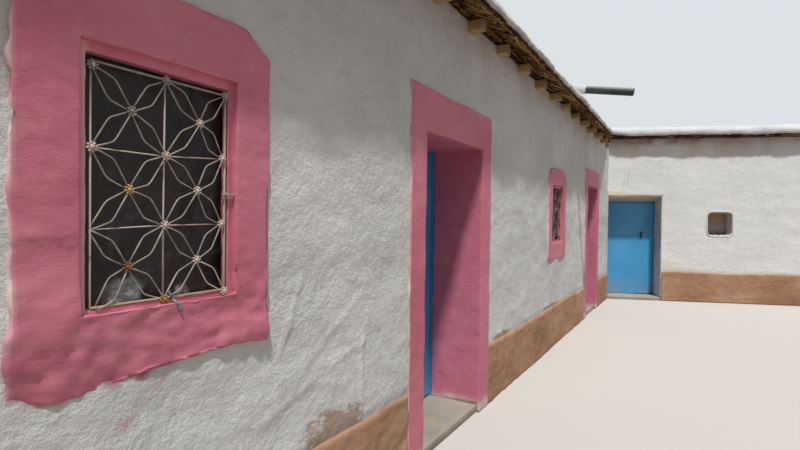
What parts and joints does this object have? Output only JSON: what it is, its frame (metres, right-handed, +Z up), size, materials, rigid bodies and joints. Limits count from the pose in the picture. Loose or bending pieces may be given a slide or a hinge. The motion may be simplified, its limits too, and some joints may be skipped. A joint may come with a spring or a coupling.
{
  "type": "adobe house",
  "caption": "Single-storey L-shaped adobe house with whitewashed walls, rose-painted door and window surrounds, blue steel doors, projecting roof beams, rounded coping and a spout.",
  "frame": {"origin": "middle of the outline of the copings, at ground level", "axes": "+X along the long wing towards the inner corner, +Y from the courtyard into the long wing, +Z up"},
  "size_m": [17.4358, 10.0298, 3.3786],
  "materials": {
    "white_mud": "whitewashed mud render, coarse and lumpy",
    "brown_mud": "bare brown mud band",
    "rose_paint": "rose gloss paint on plaster",
    "bare_plaster": "bare grey plaster",
    "screed": "worn cement and earth screed",
    "roof_earth": "tamped earth with straw",
    "pole_wood": "weathered poles with sawn ends",
    "brushwood": "twigs and reed bound with mud",
    "spout_paint": "dark weathered pipe",
    "grille_paint": "painted steel with rust",
    "dark_sheet": "dusty dark sheet",
    "old_card": "aged card",
    "blue_paint": "blue gloss paint on sheet steel"
  },
  "bodies": {
    "house": {"front_wall_west": "white_mud", "front_wall_over_doors": "white_mud", "front_wall_middle": "white_mud", "front_wall_corner": "white_mud", "back_wall": "white_mud", "west_end_wall": "white_mud", "wing_wall_over_door": "white_mud", "wing_front_wall": "white_mud", "wing_back_wall": "white_mud", "wing_end_wall": "white_mud", "floor": "screed", "door_sills": "screed", "plinth_courtyard": "brown_mud", "plinth_rear": "brown_mud", "plinth_sides": "brown_mud", "beam_fill": "white_mud", "long_wing_beams": "pole_wood", "wing_beams": "pole_wood", "corner_beam": "pole_wood", "roof_brushwood": "brushwood", "eaves_brushwood": "brushwood", "wing_eaves_brushwood": "brushwood", "earth_roof": "roof_earth", "front_coping": "white_mud", "wing_coping": "white_mud", "rear_coping": "white_mud", "side_coping": "white_mud", "spout_pipe": "spout_paint", "spout_collar": "white_mud", "window_1_surround": "rose_paint", "window_1_grille": "grille_paint", "window_1_sheet": "dark_sheet", "window_2_surround": "rose_paint", "window_2_grille": "grille_paint", "window_2_sheet": "dark_sheet", "vent_board": "old_card", "door_1_surround": "rose_paint", "door_1_frame": "blue_paint", "door_2_surround": "bare_plaster", "door_2_frame": "blue_paint", "door_3_surround": "rose_paint", "door_3_frame": "blue_paint"},
    "door_1": {"door_1_leaf": "blue_paint"},
    "door_2": {"door_2_leaf": "blue_paint"},
    "door_3": {"door_3_leaf": "blue_paint"}
  },
  "joints": [
    {"name": "door_1_hinge", "type": "hinge", "parent": "house", "child": "door_1", "pos_m": [-5.06487, 1.20889, 0.066], "axis": [0, 0, 1], "range_deg": [0, 95]},
    {"name": "door_2_hinge", "type": "hinge", "parent": "house", "child": "door_2", "pos_m": [3.08175, 0.87446, 0.066], "axis": [0, 0, 1], "range_deg": [0, 95]},
    {"name": "door_3_hinge", "type": "hinge", "parent": "house", "child": "door_3", "pos_m": [0.44013, 1.20889, 0.066], "axis": [0, 0, 1], "range_deg": [0, 95]}
  ]
}
